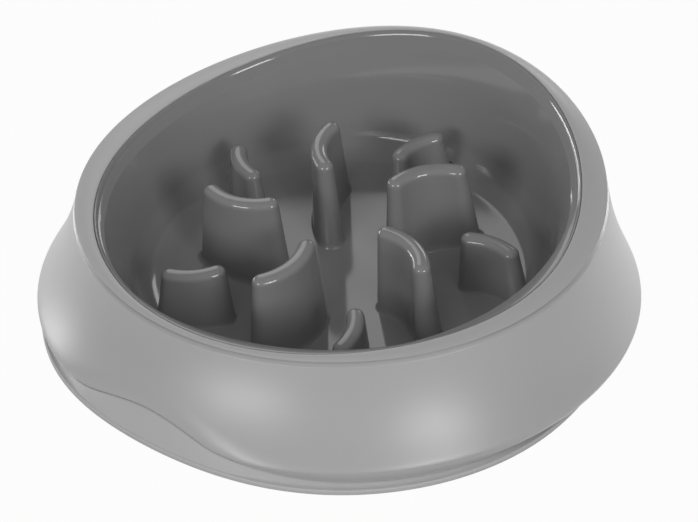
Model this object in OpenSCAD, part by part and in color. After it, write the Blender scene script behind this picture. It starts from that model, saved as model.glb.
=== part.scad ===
// Slow feeder bowl: a flared stand with a twisting, sloping rim, a lift-out
// bowl with two rings of curved fins, and a soft foot ring under the stand.
// Azimuths run clockwise from the high side (+Y), seen from above.
// The bowl is made upright in its own tilted frame and then leaned into the stand.

/* [Stand] */
// Width of the flare, from the crease out to the widest line of the skirt
flare_w = 17.7; // [12:0.1:24]
// Height of the widest line of the skirt
skirt_z = 9; // [8:0.5:12]
// Mean width of the rim band, from the edge of the bowl's lip out to the crease
band_w = 8.6; // [6:0.1:11]
// Shift of the crease toward the high side
neck_shift = 2.3; // [0:0.1:4]
// Change of the crease radius between the ends and the sides
neck_oval = -2.4; // [-4:0.1:0]
// Mean drop from the crest of the rim to the crease
band_drop = 1.8; // [1:0.1:3]
// Extra drop of the band at the high side, taken off at the low side
band_drop_lean = 1.2; // [0:0.1:1.6]
// Wall thickness of the stand
wall = 2.8; // [2:0.1:3.2]
// Width of the turned-in lower edge of the stand
seat_w = 5; // [4:0.1:6]
// Height of that edge
seat_h = 4; // [3:0.1:5]
// Height of the finger arch above the lower edge, at the low side
arch_h = 17.5; // [5:0.5:20]
// Angle over which the finger arch fades out
arch_spread_deg = 12.7; // [8:0.1:16]

/* [Rim] */
// Mean height of the rim above the bowl floor
rim_h = 46.3; // [42:0.1:50]
// Rise of the rim toward the high side
rim_lean = 5.3; // [0:0.1:7]
// Rise of both ends of the rim over its sides
rim_saddle = 3.6; // [0:0.1:5]
// Extra peak of the rim at the high side
rim_crown = 1.4; // [0:0.1:2.5]
// Lean of the bowl frame toward the low side
tilt_deg = 6.2; // [0:0.1:7]
// Shift of the middle of the bowl floor toward the high side
bowl_shift = 2; // [-2:0.1:3]
// Height of the middle of the bowl floor
bowl_rise = 10.3; // [10:0.1:20]

/* [Bowl] */
// Radius of the flat bowl floor
floor_r = 68.5; // [60:0.1:76]
// Radius of the corner between floor and wall
corner_r = 18; // [14:0.5:22]
// Outward lean of the bowl wall
wall_lean_deg = 14; // [8:0.5:16]
// Thickness of the bowl wall and floor
bowl_t = 2; // [1.6:0.1:2.4]
// Width of the lip that rests in the stand
lip_w = 3.9; // [3.5:0.1:5]
// Thickness of that lip
lip_t = 2.2; // [1.8:0.1:3]
// Clearance between the lip and the stand
lip_gap = 0.3; // [0.2:0.05:0.4]
// Width of the ledge that carries the lip
ledge_w = 1.9; // [1.6:0.1:2.2]
// Thickness of that ledge
ledge_t = 2.4; // [2:0.1:3]

/* [Fins] */
// Ring radius of the tall fins, as a share of the floor radius
tall_ring_share = 0.6; // [0.55:0.005:0.64]
// Azimuth of the first tall fin
tall_first_deg = 23.9; // [0:0.1:72]
// Height of the tall fins
tall_h = 37.1; // [28:0.1:40]
// Length of a tall fin at its ridge
tall_len = 33.4; // [28:0.1:36]
// Length of a tall fin at its foot
tall_foot_len = 46; // [36:0.1:48]
// Thickness of a tall fin at its foot
tall_foot_w = 13.4; // [9:0.1:15]
// Bow of a tall fin
tall_bow = 3.8; // [1:0.1:5]
// Turn of a tall fin away from the radius
tall_turn_deg = 16; // [0:1:30]
// Ring radius of the short fins, as a share of the floor radius
short_ring_share = 0.924; // [0.9:0.002:0.94]
// Azimuth of the first short fin
short_first_deg = 65.2; // [36:0.1:108]
// Height of the short fins
short_h = 24.8; // [16:0.1:28]
// Length of a short fin at its ridge
short_len = 26.2; // [20:0.1:28]
// Length of a short fin at its foot
short_foot_len = 35.5; // [28:0.1:37]
// Thickness of a short fin at its foot
short_foot_w = 12; // [9:0.1:14]
// Bow of a short fin
short_bow = 1.8; // [1:0.1:3]
// Turn of a short fin away from the radius
short_turn_deg = 21; // [0:1:30]
// Thickness of every fin just under its rounded ridge
ridge_w = 6.2; // [5:0.1:8]
// Shift of the foot of every fin toward the wall, so its outer end slopes more
foot_out = 2; // [0:0.1:3]
// Clearance between the foot of a fin and the bowl's round corner
corner_gap = 0.15; // [0.1:0.05:0.2]

/* [Foot ring] */
// Mean distance from the widest line of the skirt in to the edge of the foot ring
foot_inset = 2.4; // [1.5:0.1:6]
// Shift of the foot ring toward the low side
foot_shift = 6.7; // [0:0.1:8]
// Inward step of the foot ring at the finger arch
foot_dent = 6.3; // [0:0.1:8]
// Angle over which that step fades out
foot_dent_spread_deg = 20.3; // [15:0.1:25]
// Height of the seat under the stand
foot_h = 3; // [2.5:0.1:4]
// Height of the outer lip of the foot ring
foot_lip_h = 2.4; // [2:0.1:2.4]
// Distance from the outer lip to the lower edge of the stand
foot_lip_w = 2.5; // [2:0.1:3]
// Depth of the groove between lip and stand, and of the arch recess
recess = 2.2; // [1.5:0.1:2.6]
// Thickness of the seat and of the tongue that fills the arch
tongue_t = 3; // [2.5:0.1:4]
// Width of the flat sole of the foot ring
sole_w = 11; // [9:0.5:14]
// Clearance between the stand and the foot ring's seat
seat_gap = 0.05; // [0.02:0.01:0.1]

/* [Detail] */
// Steps round the bowl
steps = 96; // [72:12:108]

/* [Hidden] */
full_turn_deg = 360;
half_turn_deg = 180;
quarter_turn_deg = 90;
step_deg = full_turn_deg / steps;
fin_count = 5;
fin_step_deg = full_turn_deg / fin_count;
corner_turn_deg = quarter_turn_deg - wall_lean_deg;
// Rounding of the small edges, and of the bowl's inner edge at the lip
edge_soft = 0.5;
lip_soft = 1.6;
// Share of the skirt profile above its widest line, and the curve's handles
flare_share = 0.8;
flare_out_share = 0.34;
flare_drop_share = 0.65;
flare_low_share = 0.05;
skirt_rows = 12;
corner_rows = 8;
outer_corner_rows = 4;
// Levels of a fin: shares of the height, and of the flare that is left there
foot_shares = [[0, 1], [0.03, 0.76], [0.09, 0.55]];
ridge_rows = 4;
ridge_round_share = 0.95;
ridge_tip_share = 0.12;
end_steps = 6;
side_steps = 6;
arch_at_deg = 180;
foot_curve_h = 2.2;

// Point at azimuth a, radius r and height z
function along(a, r, z) = [r * sin(a), r * cos(a), z];
// From the bowl's tilted frame to the stand's frame
function leaned(p) = [
    p[0],
    bowl_shift + p[1] * cos(tilt_deg) - p[2] * sin(tilt_deg),
    bowl_rise + p[1] * sin(tilt_deg) + p[2] * cos(tilt_deg)
];
function mix(p, q, share) = p * (1 - share) + q * share;
function bezier(p0, p1, p2, p3, t) =
    p0 * pow(1 - t, 3) + p1 * 3 * t * pow(1 - t, 2) + p2 * 3 * t * t * (1 - t) + p3 * pow(t, 3);
// Shortest turn from azimuth a to azimuth b
function turn_between(a, b) =
    (b - a + full_turn_deg + half_turn_deg) % full_turn_deg - half_turn_deg;
function bell(a, middle, spread) = exp(-pow(turn_between(middle, a) / spread, 2) / 2);

// Crest of the rim in the bowl frame
function rim_z(a) = rim_h + rim_lean * cos(a) + rim_saddle * cos(2 * a) + rim_crown * cos(3 * a);
function wall_radius(z) =
    floor_r + corner_r * cos(wall_lean_deg) + tan(wall_lean_deg) * (z - corner_r * (1 - sin(wall_lean_deg)));
function rim_radius(a) = wall_radius(rim_z(a)) + lip_w;

// Mean radii of the crease, of the widest line of the skirt and of the foot ring
neck_r = wall_radius(rim_h) + lip_w + band_w;
skirt_r = neck_r + flare_w;
foot_r = skirt_r - foot_inset;

// Crease between the rim band and the skirt, in the bowl frame
function neck_radius(a) = neck_r + neck_shift * cos(a) + neck_oval * cos(2 * a);
function neck_z(a) = rim_z(a) - band_drop - band_drop_lean * cos(a);
function neck_point(a) = leaned(along(a, neck_radius(a), neck_z(a)));

// Foot outline and the lower edge of the stand
function foot_radius(a) =
    foot_r - foot_shift * cos(a) - foot_dent * bell(a, arch_at_deg, foot_dent_spread_deg);
function edge_z(a) = foot_h + arch_h * bell(a, arch_at_deg, arch_spread_deg);

// Skirt surface as [azimuth, radius, height] at azimuth a and profile share s
function skirt_flare(a, n, t) = [
    a + (1 - t) * turn_between(a, atan2(n[0], n[1])),
    bezier(norm([n[0], n[1]]),
           mix(norm([n[0], n[1]]), skirt_r, flare_out_share), skirt_r, skirt_r, t),
    bezier(n[2], mix(n[2], skirt_z, flare_drop_share),
           mix(skirt_z, n[2], flare_low_share), skirt_z, t)
];
function skirt_tuck(a, u) = [
    a,
    mix(skirt_r, foot_radius(a) - foot_lip_w, 1 - cos(quarter_turn_deg * u)),
    mix(skirt_z, foot_h, sin(quarter_turn_deg * u))
];
function skirt(a, s) =
    s < flare_share ? skirt_flare(a, neck_point(a), s / flare_share)
                    : skirt_tuck(a, (s - flare_share) / (1 - flare_share));
// Profile share at which the skirt comes down to height z
function share_at(a, z, low = 0, high = 1, turns = 16) =
    turns == 0 ? (low + high) / 2
    : skirt(a, (low + high) / 2)[2] > z
        ? share_at(a, z, (low + high) / 2, high, turns - 1)
        : share_at(a, z, low, (low + high) / 2, turns - 1);
function edge_share(a) = edge_z(a) < foot_h + seat_gap ? 1 : share_at(a, edge_z(a));
// The same surface moved inward by d
function skirt_point(a, s, d = 0) = along(skirt(a, s)[0], skirt(a, s)[1] - d, skirt(a, s)[2]);

// How far the foot ring or the skirt reaches at the low side, and the shift that centres the part
low_reach = max([
    for (i = [0 : steps - 1]) let (a = i * step_deg)
        -cos(a) * max(foot_radius(a), skirt(a, min(flare_share, edge_share(a)))[1])
]);
centre_shift = (low_reach - skirt_r) / 2;

// Solid through closed profiles, one for each azimuth
module closed_ring(profiles) {
    n = len(profiles);
    m = len(profiles[0]);
    faces = [
        for (i = [0 : n - 1], k = [0 : m - 1])
            let (j = (i + 1) % n, l = (k + 1) % m)
            each [[i * m + k, j * m + l, j * m + k], [i * m + k, i * m + l, j * m + l]]
    ];
    polyhedron(points = [for (p = profiles) each p], faces = faces, convexity = 8);
}

// Solid of revolution-like shape whose first and last profile points close as flat discs
module capped_ring(profiles) {
    n = len(profiles);
    m = len(profiles[0]);
    sides = [
        for (i = [0 : n - 1], k = [0 : m - 2])
            let (j = (i + 1) % n)
            each [[i * m + k, j * m + k + 1, j * m + k], [i * m + k, i * m + k + 1, j * m + k + 1]]
    ];
    first_cap = [for (i = [0 : n - 1]) i * m];
    last_cap = [for (i = [0 : n - 1]) (n - 1 - i) * m + m - 1];
    polyhedron(points = [for (p = profiles) each p],
               faces = concat(sides, [first_cap, last_cap]), convexity = 8);
}

// Profile of the stand at azimuth a: rim, crease, skirt, lower edge, inside, ledge
function shell_profile(a) =
    let (
        top = rim_z(a),
        rim = rim_radius(a),
        crest = leaned(along(a, rim + edge_soft, top)),
        crease = leaned(along(a, neck_radius(a) - 2 * edge_soft, neck_z(a) + edge_soft)),
        last = edge_share(a),
        low = skirt(a, last),
        ledge = top - lip_t - lip_gap
    )
    concat(
        [leaned(along(a, rim, top - edge_soft)), crest, mix(crest, crease, 0.5), crease],
        [for (k = [0 : skirt_rows]) skirt_point(a, last * k / skirt_rows)],
        [along(low[0], low[1] - seat_w, low[2]), along(low[0], low[1] - seat_w, low[2] + seat_h)],
        [for (share = [0.45, 0.3, 0.15]) skirt_point(a, last * share, wall)],
        [leaned(along(a, neck_radius(a) - wall, ledge - ledge_t)),
         leaned(along(a, rim - ledge_w, ledge - ledge_t)),
         leaned(along(a, rim - ledge_w, ledge)),
         leaned(along(a, rim, ledge))]
    );

// Profile of the bowl at azimuth a, from the floor up the inside and down the outside
function bowl_profile(a) =
    let (
        top = rim_z(a),
        lip_r = rim_radius(a) - lip_gap,
        edge = wall_radius(top - lip_soft),
        under = top - lip_t
    )
    [for (p = concat(
        [for (k = [0 : corner_rows]) let (u = corner_turn_deg * k / corner_rows)
            [floor_r + corner_r * sin(u), corner_r * (1 - cos(u))]],
        [for (u = [0 : quarter_turn_deg / 3 : quarter_turn_deg])
            [edge + lip_soft * (1 - cos(u)), top - lip_soft + (lip_soft - edge_soft / 2) * sin(u)]],
        [[lip_r - edge_soft, top - edge_soft / 2], [lip_r, top - 3 * edge_soft / 2], [lip_r, under],
         [wall_radius(under) + bowl_t, under]],
        [for (k = [outer_corner_rows : -1 : 0]) let (u = corner_turn_deg * k / outer_corner_rows)
            [floor_r + (corner_r + bowl_t) * sin(u), corner_r - (corner_r + bowl_t) * cos(u)]]
    )) leaned(along(a, p[0], p[1]))];

// Profile of the foot ring at azimuth a: sole, outer lip, groove, seat or tongue, inside
function foot_profile(a) =
    let (
        r = foot_radius(a),
        low = skirt(a, edge_share(a)),
        seat = low[2] - seat_gap,
        groove = r - foot_lip_w - recess
    )
    [
        along(a, r - 2 * edge_soft, 0),
        along(a, r, 2 * edge_soft),
        along(a, r, foot_lip_h - edge_soft),
        along(a, r - edge_soft, foot_lip_h),
        along(a, groove, foot_lip_h),
        along(low[0], low[1] - recess, seat),
        along(low[0], low[1] - recess - tongue_t, seat),
        along(a, groove - tongue_t, foot_curve_h),
        along(a, r - sole_w, foot_curve_h),
        along(a, r - sole_w, 0)
    ];

// Outline of one level of a fin: a bowed slot of half thickness w
function fin_outline(len, bow, w) =
    let (
        r = (len * len / 4 + bow * bow) / (2 * bow),
        half = asin(len / 2 / r)
    )
    concat(
        [for (k = [0 : side_steps]) let (u = -half + 2 * half * k / side_steps)
            [(r + w) * cos(u) - r, (r + w) * sin(u)]],
        [for (k = [1 : end_steps - 1]) let (u = half + half_turn_deg * k / end_steps)
            [r * cos(half) - r + w * cos(u), r * sin(half) + w * sin(u)]],
        [for (k = [side_steps : -1 : 0]) let (u = -half + 2 * half * k / side_steps)
            [(r - w) * cos(u) - r, (r - w) * sin(u)]],
        [for (k = [1 : end_steps - 1]) let (u = half_turn_deg - half + half_turn_deg * k / end_steps)
            [r * cos(half) - r + w * cos(u), -r * sin(half) + w * sin(u)]]
    );

// From a fin's own frame, along Y, to the bowl's frame before the turn to its azimuth
function on_ring(p, ring_r, turn) = [
    p[0] * cos(half_turn_deg - turn) - p[1] * sin(half_turn_deg - turn),
    p[0] * sin(half_turn_deg - turn) + p[1] * cos(half_turn_deg - turn) + ring_r
];
// Height of the foot of a fin over the floor, which climbs the round corner of the bowl
function foot_z(r) =
    r < floor_r ? 0 : corner_r + corner_gap - sqrt(pow(corner_r, 2) - pow(r - floor_r, 2));

// Bowed fin with a flared foot and a round ridge, on its ring at azimuth 0
module fin(ring_r, turn, height, length, foot_length, bow, foot_w) {
    top_w = ridge_w / 2;
    round_h = top_w * ridge_round_share;
    top_levels = [
        for (k = [0 : ridge_rows]) let (u = quarter_turn_deg * k / (ridge_rows + ridge_tip_share))
            [(height - round_h + round_h * sin(u)) / height, 0, top_w * mix(cos(u), 1, ridge_tip_share)]
    ];
    levels = concat([for (s = foot_shares) [s[0], s[1], mix(top_w, foot_w / 2, s[1])]], top_levels);
    outlines = [
        for (level = levels)
            [for (q = fin_outline(mix(length - ridge_w, foot_length - foot_w, level[1]), bow, level[2]))
                let (p = on_ring([q[0], q[1] - foot_out * level[1]], ring_r, turn))
                [p[0], p[1], mix(foot_z(norm(p)), height, level[0])]]
    ];
    n = len(outlines);
    m = len(outlines[0]);
    tip = side_steps + end_steps / 2;
    sides = [
        for (i = [0 : n - 2], k = [0 : m - 1])
            let (l = (k + 1) % m)
            each [[i * m + k, (i + 1) * m + k, (i + 1) * m + l], [i * m + k, (i + 1) * m + l, i * m + l]]
    ];
    // The foot closes in strips across the fin, so it can follow the corner of the bowl
    foot_cap = [
        for (k = [0 : m / 2 - 1])
            let (a = tip + k, b = tip + k + 1, c = (tip - k - 1 + m) % m, d = (tip - k + m) % m)
            each k == 0 ? [[a, b, c]] : k == m / 2 - 1 ? [[a, b, d]] : [[a, b, c], [a, c, d]]
    ];
    top_cap = [for (k = [m - 1 : -1 : 0]) (n - 1) * m + k];
    polyhedron(points = [for (o = outlines) each o],
               faces = concat(sides, foot_cap, [top_cap]), convexity = 4);
}

module centred() {
    translate([0, centre_shift, 0]) children();
}

module in_bowl(azimuth) {
    centred() translate([0, bowl_shift, bowl_rise]) rotate([tilt_deg, 0, 0])
        rotate([0, 0, -azimuth]) children();
}

module tall_fin(index) {
    color([0.40, 0.40, 0.40]) in_bowl(tall_first_deg + index * fin_step_deg)
        fin(tall_ring_share * floor_r, tall_turn_deg, tall_h, tall_len, tall_foot_len,
            tall_bow, tall_foot_w);
}

module short_fin(index) {
    color([0.40, 0.40, 0.40]) in_bowl(short_first_deg + index * fin_step_deg)
        fin(short_ring_share * floor_r, short_turn_deg, short_h, short_len, short_foot_len,
            short_bow, short_foot_w);
}

module outer_shell() {
    color([0.69, 0.69, 0.69])
        centred() closed_ring([for (i = [0 : steps - 1]) shell_profile(i * step_deg)]);
}

module inner_bowl() {
    color([0.36, 0.36, 0.36])
        centred() capped_ring([for (i = [0 : steps - 1]) bowl_profile(i * step_deg)]);
}

module foot_ring() {
    color([0.66, 0.66, 0.66])
        centred() closed_ring([for (i = [0 : steps - 1]) foot_profile(i * step_deg)]);
}

outer_shell();
inner_bowl();
foot_ring();
tall_fin(0);  // tall_fin_1
tall_fin(1);  // tall_fin_2
tall_fin(2);  // tall_fin_3
tall_fin(3);  // tall_fin_4
tall_fin(4);  // tall_fin_5
short_fin(0);  // short_fin_1
short_fin(1);  // short_fin_2
short_fin(2);  // short_fin_3
short_fin(3);  // short_fin_4
short_fin(4);  // short_fin_5
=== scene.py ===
"""Slow feeder bowl: a satin stand, a glossy bowl with two rings of fins, and a foot ring.

Sizes are in metres. Azimuths run clockwise from the high side (+Y), seen from above, so the
low side with its finger arch is at pi.
"""
from math import asin, cos, hypot, pi, radians, sin, sqrt, tan

import bpy
import numpy as np
from mathutils import Matrix, Vector


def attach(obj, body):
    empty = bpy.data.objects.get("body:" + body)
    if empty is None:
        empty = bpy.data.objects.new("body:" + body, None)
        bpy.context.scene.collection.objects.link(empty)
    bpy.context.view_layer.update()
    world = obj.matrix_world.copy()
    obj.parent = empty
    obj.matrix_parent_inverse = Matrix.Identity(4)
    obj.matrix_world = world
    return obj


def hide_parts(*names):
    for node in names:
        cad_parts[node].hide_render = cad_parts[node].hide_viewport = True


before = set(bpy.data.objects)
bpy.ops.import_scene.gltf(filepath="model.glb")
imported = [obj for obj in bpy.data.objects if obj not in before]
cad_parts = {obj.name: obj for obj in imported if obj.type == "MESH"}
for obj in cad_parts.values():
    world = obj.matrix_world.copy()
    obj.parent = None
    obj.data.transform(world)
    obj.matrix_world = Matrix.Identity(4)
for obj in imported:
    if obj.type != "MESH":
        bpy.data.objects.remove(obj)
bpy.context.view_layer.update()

MM = 0.001

# Camera, at the photograph's viewing angle; the lens and the sensor are in millimetres
VIEW_AZIMUTH = radians(37.7)
VIEW_ELEVATION = radians(35.1)
VIEW_DISTANCE = 850 * MM
VIEW_TARGET = Vector((8.0 * MM, -4.9 * MM, 22.5 * MM))
VIEW_LENS = 107.6
VIEW_SENSOR = 36
VIEW_CLIP = 10 * MM

# Rim height round the bowl, and the tilted frame that the rim and the bowl share
RIM_H = 46.3 * MM
RIM_LEAN = 5.3 * MM
RIM_SADDLE = 3.6 * MM
RIM_CROWN = 1.4 * MM
TILT = radians(6.2)
BOWL_SHIFT = 2.0 * MM
BOWL_RISE = 10.3 * MM

# The rim runs further out to the right of the low side
RIM_SWELL = 3.4 * MM
RIM_SWELL_AT = radians(95)
RIM_SWELL_SPREAD = radians(20)

# Stand: band on the rim, skirt, seat on the foot ring, ledge that carries the bowl
BAND_W = 8.6 * MM
BAND_DROP = 1.8 * MM
BAND_DROP_LEAN = 1.2 * MM
BAND_CROWN = 0.5 * MM
FLARE_W = 17.7 * MM
SKIRT_Z = 9.0 * MM
WALL = 2.8 * MM
SEAT_W = 5.0 * MM
SEAT_H = 4.0 * MM
LEDGE_W = 1.9 * MM
LEDGE_T = 2.4 * MM

# Outer edge of the band: off centre, slightly oval, and drawn in at the front
NECK_SHIFT = 2.3 * MM
NECK_OVAL = -2.4 * MM
NECK_TUCK = 2.8 * MM
NECK_TUCK_AT = radians(145)
NECK_TUCK_SPREAD = radians(36)

# Crease under the band
GROOVE_W = 1.3 * MM
GROOVE_DEPTH = 2.1 * MM

# Profile of the skirt: shares of its length, width or height
FLARE_SHARE = 0.8
FLARE_OUT_SHARE = 0.34
FLARE_DROP_SHARE = 0.65
FLARE_LOW_SHARE = 0.05
SKIRT_START = 0.02
SKIRT_CLOSE = 0.1
INSIDE_SHARES = (0.45, 0.3, 0.15)

# Finger arch, and the skirt's lower edge, which rolls in and most in the arch
ARCH_H = 10.8 * MM
ARCH_SPREAD = radians(14.3)
ARCH_FULL = 5.0 * MM
FOOT_ROLL = 1.3 * MM
ARCH_ROLL = 1.6 * MM
ROLL_H = 8.0 * MM

# Bowl
FLOOR_R = 68.5 * MM
CORNER_R = 18.0 * MM
WALL_LEAN = radians(14)
BOWL_T = 2.0 * MM
FLOOR_T = 1.6 * MM
LIP_W = 3.9 * MM
LIP_T = 2.2 * MM
LIP_GAP = 0.3 * MM
SEAM = 0.25 * MM

# The floor is dished: its middle lies lower, and it rises to the round corner without a break.
# BEND_AT is the middle of the corner's arc, as radius and height.
DISH_DROP = 5.0 * MM
DISH_R = 470.0 * MM
BEND_R = 16.0 * MM
BEND_AT = (70.18 * MM, 16.46 * MM)
BEND_START = radians(8.9)

# Below the lip the wall leans out, over LIP_H; at the low side the lip is a wider flat strip
LIP_H = 22.0 * MM
LIP_LEAN = 2.0 * MM
LIP_CURL = 2.9 * MM
LIP_CURL_FLAT = 1.2 * MM
LIP_BENDS = (0.68, 0.33)
LIP_INSET = 0.6 * MM
LIP_DROP = 0.45 * MM
LIP_SIDE = 0.3 * MM
FLAT_LIP = 2.8 * MM
FLAT_LIP_AT = radians(163)
FLAT_LIP_SPREAD = radians(20)

# Fins: radius of the ring, azimuth of the first, height, length at the ridge and at the foot,
# thickness at the foot, bow of the arc, and turn against the ring; angles in degrees
FIN_COUNT = 5
TALL = dict(ring=41.1 * MM, first=23.9, height=37.1 * MM, length=33.4 * MM,
            foot_length=46.0 * MM, foot=13.4 * MM, bow=3.8 * MM, turn=16)
SHORT = dict(ring=63.3 * MM, first=65.2, height=24.8 * MM, length=26.2 * MM,
             foot_length=35.5 * MM, foot=12.0 * MM, bow=1.8 * MM, turn=21)

# Section of a fin: the ridge is rounded over RIDGE_ROUND of its half width, a little squarer
# than an arc. The flare at the foot loses TOE_FLARE of its width over the lowest TOE_SHARE of
# the height, and the rest evenly up to the ridge.
RIDGE_W = 7.3 * MM
RIDGE_ROUND = 0.85
RIDGE_POWER = 0.8
RIDGE_TIP = 0.003
TOE_SHARE = 0.09
TOE_FLARE = 0.45
FOOT_OUT = 2.0 * MM
FOOT_SINK = 0.25 * MM

# Foot ring: its outline is off centre, dented at the low side, and drawn in beside it
FOOT_INSET = 2.4 * MM
FOOT_SHIFT = 6.7 * MM
FOOT_DENT = 6.3 * MM
FOOT_DENT_SPREAD = radians(20.3)
FOOT_TUCK = 3.0 * MM
FOOT_TUCK_SPREAD = radians(17)
FOOT_TUCKS_AT = (radians(228), radians(82))
FOOT_H = 3.0 * MM
FOOT_LIP_H = 2.4 * MM
FOOT_LIP_W = 2.5 * MM
SOLE_W = 11.0 * MM
SEAT_GAP = 0.05 * MM

# Wall of the foot ring behind the skirt, and the tongue that closes the finger arch
RECESS = 2.2 * MM
TONGUE_RECESS = 1.5 * MM
TONGUE_LIP_W = 1.0 * MM
TONGUE_T = 3.0 * MM

# How far back the rounding of each edge begins
RIM_CUT = 0.4 * MM
BAND_CUT = 0.3 * MM
SKIRT_CUT = 0.35 * MM
LIP_CUT = 0.15 * MM
LIP_UNDER_CUT = 0.2 * MM
FOOT_CUT = 0.8 * MM
SOLE_CUT = 0.5 * MM

# Mesh density; the rows of the band and of the dish, above and below, are shares of their width
STEPS = 288
CUT_STEPS = 6
SKIRT_ROWS = 57
SKIRT_CLOSE_ROWS = 15
BAND_ROWS = (0.25, 0.5, 0.75)
DISH_ROWS = np.linspace(0.02, 0.97, 20)
UNDER_ROWS = np.linspace(0.94, 0.02, 8)
BEND_ROWS = 20
UNDER_BEND_ROWS = 10
LIP_ROWS = 12
FIN_ENDS = 14
FIN_SIDES = 16
TOE_ROWS = 9
FLANK_ROWS = 9
RIDGE_ROWS = 11
EDGE_HALVINGS = 24
CENTRE_STEPS = 96

# Finishes: spread of colour and gloss over patches, and a grain
PATCH_SCALE = 18
PATCH_DETAIL = 3
TINT_SPREAD = 0.03
GLOSS_SPREAD = 0.08
GRAIN_DETAIL = 2
GRAIN_DEPTH = 0.2 * MM

# Floor and light: FLOOR_WHITE is the share of the floor's shading that the camera doesn't see.
# A box of LAMP_WATTS per square metre looks plain white.
FLOOR_REACH = 4.0
FLOOR_GREY = 0.35
FLOOR_ROUGHNESS = 0.9
FLOOR_SPECULAR = 0.1
FLOOR_WHITE = 0.965
WORLD_STRENGTH = 0.3
LAMP_DISTANCE = 1.5
LAMP_AIM = Vector((0, 0, 30 * MM))
LAMP_WATTS = 4


def point(a, r, z):
    """Points at azimuths a, radius r and height z."""
    return np.stack([r * np.sin(a), r * np.cos(a), z + 0 * a], -1)


def leaned(p):
    """From the bowl's tilted frame to the stand's frame."""
    x, y, z = p[..., 0], p[..., 1], p[..., 2]
    return np.stack([x, BOWL_SHIFT + y * cos(TILT) - z * sin(TILT),
                     BOWL_RISE + y * sin(TILT) + z * cos(TILT)], -1)


def mix(p, q, share):
    return p * (1 - share) + q * share


def bezier(p0, p1, p2, p3, t):
    return p0 * (1 - t) ** 3 + p1 * 3 * t * (1 - t) ** 2 + p2 * 3 * t * t * (1 - t) + p3 * t ** 3


def bell(a, spread, centre=pi):
    """1 at the centre, by default the low side, falling to 0.6 at the angle spread from it."""
    away = (a - centre + pi) % (2 * pi) - pi
    return np.exp(-(away / spread) ** 2 / 2)


def rim_z(a):
    """Height of the rim, in the bowl's frame."""
    return (RIM_H + RIM_LEAN * np.cos(a) + RIM_SADDLE * np.cos(2 * a)
            + RIM_CROWN * np.cos(3 * a))


def wall_radius(z):
    """Radius of the bowl's straight wall at height z, in the bowl's frame."""
    return (FLOOR_R + CORNER_R * cos(WALL_LEAN)
            + tan(WALL_LEAN) * (z - CORNER_R * (1 - sin(WALL_LEAN))))


def rim_radius(a):
    """Inner edge of the rim band."""
    return wall_radius(rim_z(a)) + LIP_W + RIM_SWELL * bell(a, RIM_SWELL_SPREAD, RIM_SWELL_AT)


NECK_R = wall_radius(RIM_H) + LIP_W + BAND_W
SKIRT_R = NECK_R + FLARE_W
FOOT_R = SKIRT_R - FOOT_INSET


def neck_point(a, inward=0.0, lower=0.0):
    """Outer edge of the rim band, or a point further in and lower."""
    r = NECK_R + NECK_SHIFT * np.cos(a) + NECK_OVAL * np.cos(2 * a) - inward
    r = r - NECK_TUCK * bell(a, NECK_TUCK_SPREAD, NECK_TUCK_AT)
    return leaned(point(a, r, rim_z(a) - BAND_DROP - BAND_DROP_LEAN * np.cos(a) - lower))


def foot_radius(a):
    """Outer edge of the foot ring."""
    tuck = FOOT_TUCK * sum(bell(a, FOOT_TUCK_SPREAD, centre) for centre in FOOT_TUCKS_AT)
    return FOOT_R - FOOT_SHIFT * np.cos(a) - FOOT_DENT * bell(a, FOOT_DENT_SPREAD) - tuck


def skirt(a, s):
    """(azimuth, radius, height) of the skirt at profile share s, for arrays a and s."""
    neck = neck_point(a)
    neck_r = np.hypot(neck[..., 0], neck[..., 1])
    neck_a = a + (np.arctan2(neck[..., 0], neck[..., 1]) - a + pi) % (2 * pi) - pi
    t = np.minimum(s / FLARE_SHARE, 1)
    r = bezier(neck_r, mix(neck_r, SKIRT_R, FLARE_OUT_SHARE), SKIRT_R, SKIRT_R, t)
    z = bezier(neck[..., 2], mix(neck[..., 2], SKIRT_Z, FLARE_DROP_SHARE),
               mix(SKIRT_Z, neck[..., 2], FLARE_LOW_SHARE), SKIRT_Z, t)
    u = np.maximum(s - FLARE_SHARE, 0) / (1 - FLARE_SHARE) * pi / 2
    r = r + (foot_radius(a) - FOOT_LIP_W - SKIRT_R) * (1 - np.cos(u))
    z = z + (FOOT_H - SKIRT_Z) * np.sin(u)
    return mix(neck_a, a, t), r, z


def edge_share(a):
    """Profile share at which the skirt meets its lower edge, arch included."""
    edge = FOOT_H + ARCH_H * bell(a, ARCH_SPREAD)
    low, high = np.zeros_like(a), np.ones_like(a)
    for _ in range(EDGE_HALVINGS):
        middle = (low + high) / 2
        above = skirt(a, middle)[2] > edge
        low, high = np.where(above, middle, low), np.where(above, high, middle)
    return np.where(edge < FOOT_H + SEAT_GAP, 1.0, (low + high) / 2)


def arch_share(z):
    """0 where the stand's lower edge, at height z, meets the foot lip, 1 in the finger arch."""
    return np.clip((z - FOOT_H) / ARCH_FULL, 0, 1)


def skirt_point(a, s, inward=0.0):
    at, r, z = skirt(a, s)
    return point(at, r - inward, z)


def azimuths(count=STEPS):
    return np.linspace(0, 2 * pi, count, endpoint=False)


def centre_shift():
    """Shift that centres the part between its high side and its low side."""
    a = azimuths(CENTRE_STEPS)
    reach = np.maximum(foot_radius(a), skirt(a, np.minimum(FLARE_SHARE, edge_share(a)))[1])
    return (np.max(-np.cos(a) * reach) - SKIRT_R) / 2


CENTRE_SHIFT = centre_shift()


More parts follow.
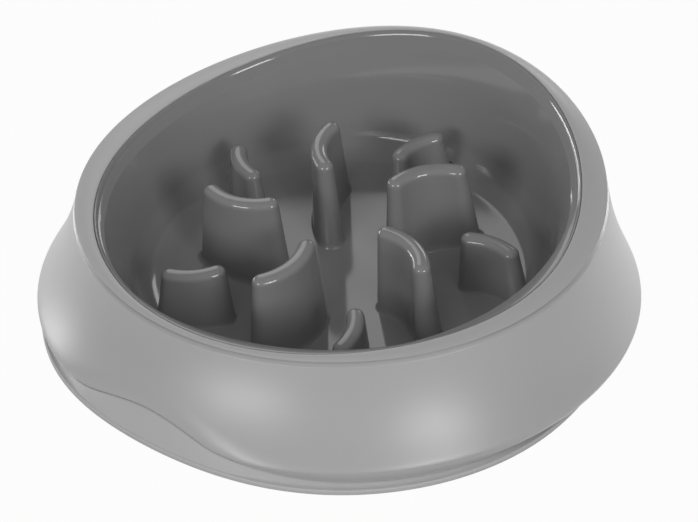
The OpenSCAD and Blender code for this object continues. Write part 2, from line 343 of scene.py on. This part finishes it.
def rounded(corners):
    """Profile through (points, cut) corners; a corner with a cut becomes a small curve."""
    rows = []
    for k, (p, cut) in enumerate(corners):
        if not cut:
            rows.append(p)
            continue
        before, after = corners[k - 1][0], corners[(k + 1) % len(corners)][0]
        start = p + (before - p) * (cut / np.linalg.norm(before - p, axis=-1, keepdims=True))
        end = p + (after - p) * (cut / np.linalg.norm(after - p, axis=-1, keepdims=True))
        for t in np.linspace(0, 1, CUT_STEPS):
            rows.append(start * (1 - t) ** 2 + p * 2 * t * (1 - t) + end * t * t)
    return rows


def grid_faces(n, m, close_n, close_m):
    """Four-sided faces through n rows of m points, closed round either way."""
    faces = []
    for i in range(n if close_n else n - 1):
        j = (i + 1) % n
        for k in range(m if close_m else m - 1):
            after = (k + 1) % m
            faces.append((i * m + k, i * m + after, j * m + after, j * m + k))
    return faces


def add_piece(name, points, faces, body, node, material):
    """Smooth mesh that rides on a body and stands for a node."""
    mesh = bpy.data.meshes.new(name)
    mesh.from_pydata([tuple(p) for p in points], [], faces)
    mesh.shade_smooth()
    mesh.materials.append(material)
    piece = bpy.data.objects.new(name, mesh)
    bpy.context.scene.collection.objects.link(piece)
    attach(piece, body)
    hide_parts(node)


def add_turned(name, corners, body, node, material, closed=True):
    """Piece from a profile that runs round the object; an open one gets a face at each end."""
    grid = np.stack(rounded(corners), 1) + np.array([0, CENTRE_SHIFT, 0])
    n, m = grid.shape[:2]
    faces = grid_faces(n, m, True, closed)
    if not closed:
        faces.append([i * m for i in range(n)])
        faces.append([i * m + m - 1 for i in reversed(range(n))])
    add_piece(name, grid.reshape(-1, 3), faces, body, node, material)


def stand(material):
    a = azimuths()
    top, rim, last = rim_z(a), rim_radius(a), edge_share(a)
    low_a, low_r, low_z = skirt(a, last)
    ledge = top - LIP_T - LIP_GAP
    crest, neck = leaned(point(a, rim, top)), neck_point(a)
    inner_neck = np.hypot(neck[..., 0], neck[..., 1]) - WALL
    corners = [(leaned(point(a, rim, ledge)), 0), (crest, RIM_CUT)]
    for t in BAND_ROWS:
        crown = np.array([0, 0, BAND_CROWN * 4 * t * (1 - t)])
        corners.append((mix(crest, neck, t) + crown, 0))
    corners += [(neck, BAND_CUT), (neck_point(a, GROOVE_DEPTH, BAND_CUT), 0),
                (neck_point(a, GROOVE_DEPTH, BAND_CUT + GROOVE_W), 0)]
    for share in np.linspace(SKIRT_START, SKIRT_CLOSE, SKIRT_CLOSE_ROWS):
        corners.append((skirt_point(a, share), 0))
    for t in np.linspace(0, 1, SKIRT_ROWS)[1:]:
        share = mix(SKIRT_CLOSE, last, t)
        above = (skirt(a, share)[2] - low_z) / ROLL_H
        roll = (FOOT_ROLL + ARCH_ROLL * arch_share(low_z)) * np.maximum(1 - above, 0) ** 2
        corners.append((skirt_point(a, share, roll), 0))
    corners[-1] = (corners[-1][0], SKIRT_CUT)
    corners += [(point(low_a, low_r - SEAT_W, low_z), 0),
                (point(low_a, low_r - SEAT_W, low_z + SEAT_H), 0)]
    corners += [(skirt_point(a, last * share, WALL), 0) for share in INSIDE_SHARES]
    corners += [(leaned(point(a, inner_neck, ledge - LEDGE_T)), 0),
                (leaned(point(a, rim - LEDGE_W, ledge - LEDGE_T)), 0),
                (leaned(point(a, rim - LEDGE_W, ledge)), 0)]
    add_turned("Stand", corners, "stand", "outer_shell", material)


def floor_z(r):
    """Height of the bowl's dished floor, and of the round corner beyond it."""
    if r < BEND_AT[0] + BEND_R * sin(BEND_START):
        return r * r / (2 * DISH_R) - DISH_DROP
    return BEND_AT[1] - sqrt(BEND_R ** 2 - (r - BEND_AT[0]) ** 2)


def bend(u, radius):
    """Point of the round corner, as radius and height, where the surface has turned by u."""
    return BEND_AT[0] + radius * sin(u), BEND_AT[1] - radius * cos(u)


def bowl(material):
    a = azimuths()
    top = rim_z(a)
    under = top - LIP_T
    lip = rim_radius(a) - SEAM
    turn = pi / 2 - WALL_LEAN
    reach = BEND_AT[0] + BEND_R * sin(BEND_START)
    inside = [(reach * t, floor_z(reach * t)) for t in DISH_ROWS]
    inside += [bend(u, BEND_R) for u in np.linspace(BEND_START, turn, BEND_ROWS)]
    outside = [bend(u, BEND_R + BOWL_T) for u in np.linspace(turn, BEND_START, UNDER_BEND_ROWS)]
    outside += [(reach * t, floor_z(reach * t) - FLOOR_T) for t in UNDER_ROWS]
    corners = [(leaned(point(a, r, z)), 0) for r, z in inside]
    flat = bell(a, FLAT_LIP_SPREAD, FLAT_LIP_AT)
    wall = wall_radius(top - LIP_H)
    edge = lip - LIP_INSET - FLAT_LIP * flat
    curl = mix(LIP_CURL, LIP_CURL_FLAT, flat)
    for t in np.linspace(0, 1, LIP_ROWS):
        r = bezier(wall, wall + LIP_LEAN, edge - curl, edge, t)
        z = bezier(top - LIP_H, top - LIP_BENDS[0] * LIP_H, top - LIP_BENDS[1] * LIP_H,
                   top - LIP_DROP, t)
        corners.append((leaned(point(a, r, z)), 0))
    corners += [(leaned(point(a, lip, top - LIP_SIDE)), LIP_CUT),
                (leaned(point(a, lip, under)), LIP_UNDER_CUT),
                (leaned(point(a, wall_radius(under) + BOWL_T, under)), 0)]
    corners += [(leaned(point(a, r, z)), 0) for r, z in outside]
    add_turned("Bowl", corners, "bowl", "inner_bowl", material, closed=False)


def foot_ring(material):
    a = azimuths()
    r = foot_radius(a)
    low_a, low_r, low_z = skirt(a, edge_share(a))
    seat = low_z - SEAT_GAP
    arch = arch_share(low_z)
    groove = r - mix(FOOT_LIP_W + RECESS, TONGUE_LIP_W, arch)
    recess = mix(RECESS, TONGUE_RECESS, arch)
    corners = [(point(a, r, 0.0), FOOT_CUT), (point(a, r, FOOT_LIP_H), FOOT_CUT),
               (point(a, groove, FOOT_LIP_H), 0), (point(low_a, low_r - recess, seat), 0),
               (point(low_a, low_r - RECESS - TONGUE_T, seat), 0),
               (point(a, groove - TONGUE_T, FOOT_LIP_H), 0),
               (point(a, r - SOLE_W, FOOT_LIP_H), 0), (point(a, r - SOLE_W, 0.0), SOLE_CUT)]
    add_turned("Foot_ring", corners, "stand", "foot_ring", material)


def fin_outline(length, bow, w):
    """Outline of a bowed slot of half thickness w round an arc along Y."""
    r = (length * length / 4 + bow * bow) / (2 * bow)
    half = asin(length / 2 / r)
    out = []
    for u in np.linspace(-half, half, FIN_SIDES):
        out.append(((r + w) * cos(u) - r, (r + w) * sin(u)))
    for u in half + pi * np.arange(1, FIN_ENDS) / FIN_ENDS:
        out.append((r * cos(half) - r + w * cos(u), r * sin(half) + w * sin(u)))
    for u in np.linspace(half, -half, FIN_SIDES):
        out.append(((r - w) * cos(u) - r, (r - w) * sin(u)))
    for u in -half + pi + pi * np.arange(1, FIN_ENDS) / FIN_ENDS:
        out.append((r * cos(half) - r + w * cos(u), -r * sin(half) + w * sin(u)))
    return out


def fin_levels(height, foot):
    """(share of the height, flare that is left, half thickness) of each level of a fin."""
    top_w = RIDGE_W / 2
    round_h = RIDGE_ROUND * top_w
    levels = [(TOE_SHARE * (1 - cos(u)), 1 - TOE_FLARE * sin(u))
              for u in np.linspace(0, pi / 2, TOE_ROWS)[:-1]]
    levels += [(mix(TOE_SHARE, 1 - round_h / height, t), (1 - TOE_FLARE) * (1 - t))
               for t in np.linspace(0, 1, FLANK_ROWS)]
    levels = [(share, flare, mix(top_w, foot / 2, flare)) for share, flare in levels]
    for u in np.linspace(0, pi / 2, RIDGE_ROWS)[1:]:
        levels.append(((height - round_h + round_h * sin(u) ** RIDGE_POWER) / height, 0.0,
                       top_w * max(cos(u), RIDGE_TIP) ** RIDGE_POWER))
    return levels


def fin_foot_faces(m):
    """Faces that close a fin's foot of m points, in strips from one end to the other."""
    half = m // 2
    tip = FIN_SIDES - 1 + FIN_ENDS // 2
    faces = []
    for k in range(half):
        a, b, c, d = (n % m for n in (tip + k, tip + k + 1, tip - k - 1, tip - k))
        if k == 0:
            faces.append((a, c, b))
        elif k == half - 1:
            faces.append((a, d, b))
        else:
            faces += [(a, c, b), (a, d, c)]
    return faces


def fin(name, node, index, size, material):
    """One fin of a ring, standing on the dished floor in the bowl's tilted frame."""
    azimuth = radians(size["first"] + index * 360 / FIN_COUNT)
    place = (Matrix.Translation((0, BOWL_SHIFT + CENTRE_SHIFT, BOWL_RISE))
             @ Matrix.Rotation(TILT, 4, "X") @ Matrix.Rotation(-azimuth, 4, "Z"))
    turn = radians(180 - size["turn"])
    ridge, foot = size["length"] - RIDGE_W, size["foot_length"] - size["foot"]
    levels = fin_levels(size["height"], size["foot"])
    points = []
    for share, flare, w in levels:
        outline = fin_outline(mix(ridge, foot, flare), size["bow"], w)
        for x, y in outline:
            y -= FOOT_OUT * flare
            x, y = (x * cos(turn) - y * sin(turn),
                    x * sin(turn) + y * cos(turn) + size["ring"])
            low = floor_z(hypot(x, y)) - FOOT_SINK
            points.append(place @ Vector((x, y, mix(low, size["height"], share))))
    m = len(outline)
    faces = grid_faces(len(levels), m, False, True) + fin_foot_faces(m)
    faces.append(tuple((len(levels) - 1) * m + k for k in range(m)))
    add_piece(name, points, faces, "bowl", node, material)


def plastic(name, colour, roughness, grain, grain_scale, sheen=0.0):
    """Moulded plastic: near-even colour, a fine grain in the surface and slightly uneven gloss."""
    material = bpy.data.materials.new(name)
    material.use_nodes = True
    tree = material.node_tree
    shader = tree.nodes["Principled BSDF"]
    shader.inputs["Sheen Weight"].default_value = sheen
    coords = tree.nodes.new("ShaderNodeTexCoord")
    patches = tree.nodes.new("ShaderNodeTexNoise")
    patches.inputs["Scale"].default_value = PATCH_SCALE
    patches.inputs["Detail"].default_value = PATCH_DETAIL
    fine = tree.nodes.new("ShaderNodeTexNoise")
    fine.inputs["Scale"].default_value = grain_scale
    fine.inputs["Detail"].default_value = GRAIN_DETAIL
    tint = tree.nodes.new("ShaderNodeMapRange")
    tint.inputs["To Min"].default_value = colour * (1 - TINT_SPREAD)
    tint.inputs["To Max"].default_value = colour * (1 + TINT_SPREAD)
    gloss = tree.nodes.new("ShaderNodeMapRange")
    gloss.inputs["To Min"].default_value = roughness * (1 - GLOSS_SPREAD)
    gloss.inputs["To Max"].default_value = roughness * (1 + GLOSS_SPREAD)
    bump = tree.nodes.new("ShaderNodeBump")
    bump.inputs["Strength"].default_value = grain
    bump.inputs["Distance"].default_value = GRAIN_DEPTH
    link = tree.links.new
    for texture in (patches, fine):
        link(coords.outputs["Object"], texture.inputs["Vector"])
    link(patches.outputs["Fac"], tint.inputs["Value"])
    link(patches.outputs["Fac"], gloss.inputs["Value"])
    link(tint.outputs["Result"], shader.inputs["Base Color"])
    link(gloss.outputs["Result"], shader.inputs["Roughness"])
    link(fine.outputs["Fac"], bump.inputs["Height"])
    link(bump.outputs["Normal"], shader.inputs["Normal"])
    return material


def show_white(tree, shader, share):
    """Camera and reflections see plain white in place of this share of the shading."""
    path = tree.nodes.new("ShaderNodeLightPath")
    seen = tree.nodes.new("ShaderNodeMath")
    seen.operation = "MAXIMUM"
    any_seen = tree.nodes.new("ShaderNodeMath")
    any_seen.operation = "MAXIMUM"
    part = tree.nodes.new("ShaderNodeMath")
    part.operation = "MULTIPLY"
    part.inputs[1].default_value = share
    white = tree.nodes.new("ShaderNodeEmission")
    mixed = tree.nodes.new("ShaderNodeMixShader")
    link = tree.links.new
    link(path.outputs["Is Camera Ray"], seen.inputs[0])
    link(path.outputs["Is Glossy Ray"], seen.inputs[1])
    link(seen.outputs[0], any_seen.inputs[0])
    link(path.outputs["Is Transmission Ray"], any_seen.inputs[1])
    link(any_seen.outputs[0], part.inputs[0])
    link(part.outputs[0], mixed.inputs[0])
    link(shader.outputs[0], mixed.inputs[1])
    link(white.outputs[0], mixed.inputs[2])
    link(mixed.outputs[0], tree.nodes["Material Output"].inputs["Surface"])


def floor_and_world():
    """White floor that keeps a faint contact shadow, under an even world light."""
    mesh = bpy.data.meshes.new("Floor")
    mesh.from_pydata([(x * FLOOR_REACH, y * FLOOR_REACH, 0)
                      for x, y in ((-1, -1), (1, -1), (1, 1), (-1, 1))], [], [(0, 1, 2, 3)])
    floor = bpy.data.objects.new("Floor", mesh)
    bpy.context.scene.collection.objects.link(floor)
    material = bpy.data.materials.new("Floor_white")
    material.use_nodes = True
    shader = material.node_tree.nodes["Principled BSDF"]
    shader.inputs["Base Color"].default_value = (FLOOR_GREY, FLOOR_GREY, FLOOR_GREY, 1)
    shader.inputs["Roughness"].default_value = FLOOR_ROUGHNESS
    shader.inputs["Specular IOR Level"].default_value = FLOOR_SPECULAR
    show_white(material.node_tree, shader, FLOOR_WHITE)
    mesh.materials.append(material)
    world = bpy.data.worlds.new("Studio")
    world.use_nodes = True
    background = world.node_tree.nodes["Background"]
    background.inputs["Color"].default_value = (1, 1, 1, 1)
    background.inputs["Strength"].default_value = WORLD_STRENGTH
    bpy.context.scene.world = world


def view_direction(azimuth, elevation):
    """From the object to a camera or lamp; azimuth 0 is the low side, and pi/2 is +X."""
    return Vector((sin(azimuth) * cos(elevation), -cos(azimuth) * cos(elevation), sin(elevation)))


def look_from(piece, target, direction, distance):
    """Puts a camera or lamp at a distance from its target and turns it to face that."""
    piece.location = target + direction * distance
    piece.rotation_euler = direction.to_track_quat("Z", "Y").to_euler()
    bpy.context.scene.collection.objects.link(piece)


def lamp(name, azimuth, elevation, width, height, brightness, mirrored=True):
    """Soft box, azimuth counted from the camera in degrees; brightness 1 looks plain white."""
    data = bpy.data.lights.new(name, "AREA")
    data.shape = "RECTANGLE"
    data.size = width
    data.size_y = height
    data.energy = brightness * LAMP_WATTS * width * height
    piece = bpy.data.objects.new(name, data)
    piece.visible_glossy = mirrored
    direction = view_direction(VIEW_AZIMUTH + radians(azimuth), radians(elevation))
    look_from(piece, LAMP_AIM, direction, LAMP_DISTANCE)


def camera():
    data = bpy.data.cameras.new("Camera")
    data.sensor_width = VIEW_SENSOR
    data.lens = VIEW_LENS
    data.clip_start = VIEW_CLIP
    piece = bpy.data.objects.new("Camera", data)
    look_from(piece, VIEW_TARGET, view_direction(VIEW_AZIMUTH, VIEW_ELEVATION), VIEW_DISTANCE)
    bpy.context.scene.camera = piece


camera()
floor_and_world()
lamp("Left_box", -38, 20, 0.62, 0.34, 8.4)
lamp("Right_box", 31, 21, 0.50, 0.40, 10)
lamp("Front_box", 3, 52, 1.3, 1.0, 1.25, mirrored=False)
lamp("Back_box", -164.5, 37.5, 0.44, 0.86, 1.35)
lamp("Back_right_box", 158, 27, 0.36, 0.36, 2.7)
lamp("Left_side", -128, 5, 1.0, 0.22, 11.5)
lamp("Right_side", 130, 4, 1.0, 0.22, 11.5)

# Base colour, roughness, strength of the grain and its scale
stand_plastic = plastic("Stand_plastic", 0.30, 0.35, 0.10, 2600, sheen=0.25)
bowl_plastic = plastic("Bowl_plastic", 0.172, 0.09, 0.02, 1800)
foot_rubber = plastic("Foot_rubber", 0.35, 0.55, 0.2, 3000)

stand(stand_plastic)
bowl(bowl_plastic)
foot_ring(foot_rubber)
for index in range(FIN_COUNT):
    for name, size in (("Tall_fin_%d", TALL), ("Short_fin_%d", SHORT)):
        name = name % (index + 1)
        fin(name, name.lower(), index, size, bowl_plastic)

bpy.context.scene.view_settings.view_transform = "Standard"
